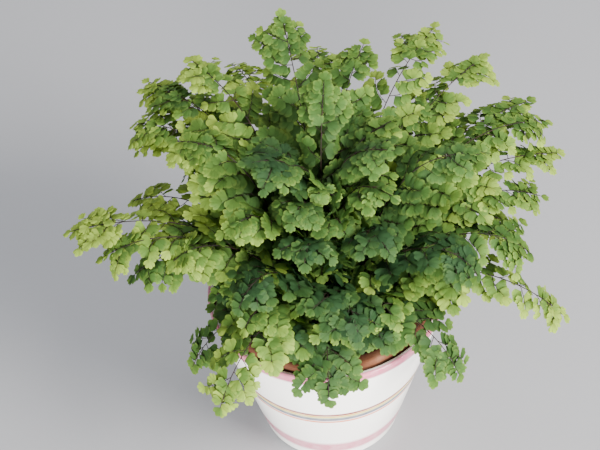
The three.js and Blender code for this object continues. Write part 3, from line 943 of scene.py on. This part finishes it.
def solidBends(line, shoot, tree):
    # the solids' leaflets on a rib: side, where each starts and ends, and its bend
    forward, inward, lift, top = plan["leafCorner"]
    flat = {**shoot, "bow": 0, "sag": 0}
    found = []
    for side, at, width, reach in shoot["solids"]:
        x = at + width * inward
        y = side * reach * forward

        def cornerAt(bend):
            return onShoot(line, flat, x, y, lift + top + abs(y) * math.tan(radians(bend)))

        found.append((side, at, at + width, findBend(tree, plan["leafBends"], cornerAt)))
    return found


def leafOut(bm, line, shoot, solids, paleness, draw):
    # leaflets along both sides of a rib and one at its end, and returns how many
    big, small = growth["leafLength"]
    outer, inner = growth["firstLeaf"]
    bare = line["length"] * plan["bare"]
    share = min(max((shoot["at"] - bare) / (line["length"] - bare), 0), 1)
    size = big + (small - big) * share
    count = 1
    for side in (1, -1):
        u = size * (outer if side == shoot["side"] else inner)
        while u < shoot["length"] - size * growth["lastLeaf"]:
            along = u / shoot["length"]
            length = size * (1 - growth["sprayTaper"] * along)
            bends = [bend for s, start, end, bend in solids if s == side and start <= u < end]
            bend = bends[0] if bends else 0
            if bend is None:
                length *= growth["crowded"]
                bend = 0
            wander = draw.uniform(-growth["leanSpread"], growth["leanSpread"])
            lean = growth["lean"] + wander - growth["leanTip"] * along
            matrix = leafletMatrix(line, shoot, u, side, lean, bend * growth["bendShare"])
            leafPaleness = paleness + growth["paler"][1] * (along - 0.5)
            tilt = side * growth["shingle"] + draw.gauss(0, growth["loose"])
            addLeaflet(bm, matrix, length, tilt, leafPaleness, draw)
            count += 1
            u += length * growth["pitch"] * draw.uniform(*growth["pitchRange"])
    matrix = leafletMatrix(line, shoot, shoot["length"], 0, 0, 0)
    length = size * (1 - growth["sprayTaper"])
    addLeaflet(bm, matrix, length, draw.gauss(0, growth["loose"]), paleness + growth["paler"][1] / 2, draw)
    return count


def growFrond(bm, line, shoots, tree, paleness, draw):
    # a stem, its ribs and all their leaflets
    end = line["length"] - growth["tipEnd"]
    pieces = int((end + plan["buried"]) / growth["stemStep"])
    places = [-plan["buried"] + (end + plan["buried"]) * i / pieces for i in range(pieces + 1)]
    strands = [([inPlace(line, x, 0, 0) for x in places], growth["stemRadius"])]
    steps = growth["ribSteps"]
    for shoot in shoots:
        shoot["bow"] = draw.uniform(-1, 1) * growth["bow"]
        shoot["sag"] = draw.random() * growth["sag"]
        points = [onShoot(line, shoot, shoot["length"] * i / steps, 0) for i in range(steps + 1)]
        strands.append((points, growth["ribRadius"]))
    first = len(bm.faces)
    ribs = ribMesh(strands)
    bm.from_mesh(ribs)
    bpy.data.meshes.remove(ribs)
    bm.faces.ensure_lookup_table()
    for face in bm.faces[first:]:
        face.material_index = 1
        face.smooth = True
    count = 0
    paler = growth["paler"][0]
    bare = line["length"] * plan["bare"]
    for shoot in shoots:
        share = (shoot["at"] - bare) / (line["length"] - bare)
        solids = solidBends(line, shoot, tree) if shoot["solids"] and tree else []
        count += leafOut(bm, line, shoot, solids, paleness + paler * (share - 0.5), draw)
    start = bare + (end - bare) * growth["stemLeaves"]
    tipShoot = newShoot(start, 1, end - start, lean=0)
    over, outermost = growth["tipPaler"]
    loose = growth["overStem"]
    u = 0
    while u < tipShoot["length"]:
        if draw.random() < loose["share"]:
            matrix = leafletMatrix(line, tipShoot, u, draw.choice((1, -1)), loose["swing"], 0)
            tilt = draw.gauss(0, loose["tilt"])
            addLeaflet(bm, matrix, growth["leafLength"][1], tilt, paleness + paler * over, draw)
            count += 1
        u += loose["gap"]
    return count + leafOut(bm, line, tipShoot, [], paleness + paler * outermost, draw)


def foliageMesh():
    bm = bmesh.new()
    bm.loops.layers.uv.new("leafUV")
    bm.verts.layers.float_color.new("leafLook")
    return bm


def foliagePiece(name, bm):
    piece = newPiece(name, bm, [fernLeaf, wiryStem])
    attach(piece, "root")
    return piece


def makeFrond(number, azimuth, reach, tip, rise, fall, roll, spread, paleness):
    draw = random.Random(number)
    node = f"frond_{number:02d}"
    tree = cornerTree(node)
    line = frondLine(azimuth, reach, tip, rise, fall, roll)
    ribWide, ribDeep = plan["ribEdge"]
    sprays = solidSprays(line, spread)
    for spray in sprays:

        def ribEnd(bend):
            return onShoot(line, {**spray, "bend": bend}, spray["length"], ribWide, ribDeep)

        spray["bend"] = findBend(tree, plan["sprayBends"], ribEnd)
    shoots = [spray for spray in sprays if spray["bend"] is not None] + grownSprays(line, sprays, draw)
    bm = foliageMesh()
    count = growFrond(bm, line, shoots, tree, paleness, draw)
    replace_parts(foliagePiece(f"frond{number:02d}Foliage", bm), node)
    return count


leafletCount = sum(makeFrond(number, *values) for number, values in enumerate(fronds, 1))
print("fronds made,", leafletCount, "leaflets")


# Fronds that the solids leave out, because they lie close among the others, with the same values as above.
innerFronds = {
    "crown": [
        (-70, 46, 238, 86, -40, 0, 46, 0.28),
        (-118, 52, 256, 86, -30, 0, 46, 0.25),
        (-30, 60, 262, 84, -25, 0, 46, 0.42),
        (-150, 46, 284, 86, -10, 0, 46, 0.38),
        (20, 60, 292, 84, 10, 0, 46, 0.54),
        (-95, 42, 196, 80, -50, 0, 42, 0.52),
        (-48, 64, 190, 78, -50, 0, 42, 0.64),
        (-138, 58, 192, 78, -50, 0, 42, 0.56),
        (-10, 40, 214, 82, -40, 0, 40, 0.36),
        (-96, 26, 256, 86, -50, 0, 42, 0.4),
        (-165, 40, 232, 84, -45, 0, 42, 0.38),
        (-45, 34, 228, 84, -45, 0, 42, 0.4),
        (60, 40, 250, 84, -30, 0, 42, 0.36),
        (48, 56, 286, 84, 5, 0, 54, 0.36),
        (152, 52, 276, 84, 0, 0, 50, 0.1),
    ],
    "outer": [
        (20, 184, 240, 66, -25, 0, 54, 0.66),
        (140, 156, 264, 69, -20, 0, 54, 0.54),
        (150, 158, 248, 67, -30, 0, 50, 0.76),
        (186, 164, 206, 66, -35, 0, 46, 0.75),
        (6, 166, 206, 66, -35, 0, 48, 0.66),
        (41, 128, 262, 72, 0, 0, 46, 0.6),
        (-62, 96, 164, 66, -55, 0, 42, 0.4),
    ],
}
innerBend = 5  # how much their sprays bend up or down, in degrees


def makeInnerFronds():
    count = 0
    for name, group in innerFronds.items():
        bm = foliageMesh()
        for number, (azimuth, reach, tip, rise, fall, roll, spread, paleness) in enumerate(group):
            draw = random.Random(f"{name}{number}")
            line = frondLine(azimuth, reach, tip, rise, fall, roll)
            sprays = solidSprays(line, spread)
            for spray in sprays:
                spray["bend"] = draw.gauss(0, innerBend)
            count += growFrond(bm, line, sprays + grownSprays(line, sprays, draw), None, paleness, draw)
        foliagePiece(f"{name}FrondsInside", bm)
    return count


print("inner fronds made,", makeInnerFronds(), "leaflets")


# Undergrowth: short fronds that fill the pot between the stems and hide the compost. A ring has its number
# of fronds, their reach, tip height, slope at root and tip, and longest spray. They wander in azimuth,
# reach and tip height.
undergrowth = {
    "rings": [(10, 58, 188, 74, -20, 38), (10, 88, 178, 64, -45, 38), (7, 34, 206, 84, -45, 40)],
    "wander": (12, 12, 10),
    "roll": 10,
    "bend": 9,
    # how pale their leaves are: partly age, partly painted light that lifts the shade among the stems
    "paleness": 0.58,
}


def makeUndergrowth():
    shape = undergrowth
    draw = random.Random(77)
    count = 0
    for index, (number, reach, tip, rise, fall, spread) in enumerate(shape["rings"]):
        bm = foliageMesh()
        for i in range(number):
            turn, out, up = (draw.uniform(-1, 1) * most for most in shape["wander"])
            azimuth = 360 * (i + 0.5 * index) / number + turn
            roll = draw.uniform(-shape["roll"], shape["roll"])
            line = frondLine(azimuth, reach + out, tip + up, rise, fall, roll)
            sprays = solidSprays(line, spread)
            for spray in sprays:
                spray["bend"] = draw.gauss(0, shape["bend"])
            shoots = sprays + grownSprays(line, sprays, draw)
            count += growFrond(bm, line, shoots, None, shape["paleness"], draw)
        foliagePiece(f"undergrowth{index + 1}", bm)
    return count


print("undergrowth made,", makeUndergrowth(), "leaflets")


# Floor and soft studio light. A light has its place, what it aims at and its width in metres, its power in
# watts and its colour. The floor's half width is in metres, and its fibre in mm.
stage = {
    "floor": "8d8e92",
    "floorHalf": 4,
    "fibre": 4,
    "dim": 0.96,
    "world": "eef0f4",
    "worldStrength": 1.0,
    "lights": {
        "key": ((1.5, -1.08, 1.5), (0, 0, 0.2), 1.1, 152, "fffaf2"),
        "fill": ((-0.1, -2.2, 0.4), (0, 0, 0.06), 1.0, 184, "fbfaf6"),
        "top": ((0.3, 0.9, 1.7), (0, 0.1, 0.2), 1.0, 15, "f8faff"),
    },
}


def addFloor():
    material = newMaterial("Grey paper")
    place = addNode(material, "TexCoord", {}, {}).outputs["Object"]
    fibre = addNode(material, "TexNoise", {"Scale": 1 / (stage["fibre"] * mm), "Detail": 3.0},
                    {"Vector": place})
    grey = srgb(stage["floor"])
    dim = (*[part * stage["dim"] for part in grey[:3]], 1)
    tint = addNode(material, "Mix", {"data_type": "RGBA", 6: grey, 7: dim}, {0: fibre})
    surface = addNode(material, "BsdfPrincipled", {"Roughness": 0.9}, {"Base Color": tint.outputs[2]})
    addNode(material, "OutputMaterial", {}, {"Surface": surface})
    bm = bmesh.new()
    bmesh.ops.create_grid(bm, x_segments=1, y_segments=1, size=stage["floorHalf"])
    floor = newPiece("floor", bm, [material])


def addLight(name, place, aim, width, power, colour):
    data = bpy.data.lights.new(name, "AREA")
    data.shape = "DISK"
    data.size = width
    data.energy = power
    data.color = srgb(colour)[:3]
    light = bpy.data.objects.new(name, data)
    light.location = place
    light.rotation_euler = (Vector(aim) - Vector(place)).to_track_quat("-Z", "Y").to_euler()
    bpy.context.scene.collection.objects.link(light)


def lightWorld():
    world = bpy.data.worlds.new("studio")
    world.use_nodes = True
    background = world.node_tree.nodes["Background"]
    background.inputs["Color"].default_value = srgb(stage["world"])
    background.inputs["Strength"].default_value = stage["worldStrength"]
    bpy.context.scene.world = world


addFloor()
for lightName, values in stage["lights"].items():
    addLight(lightName, *values)
lightWorld()
print("stage lit")
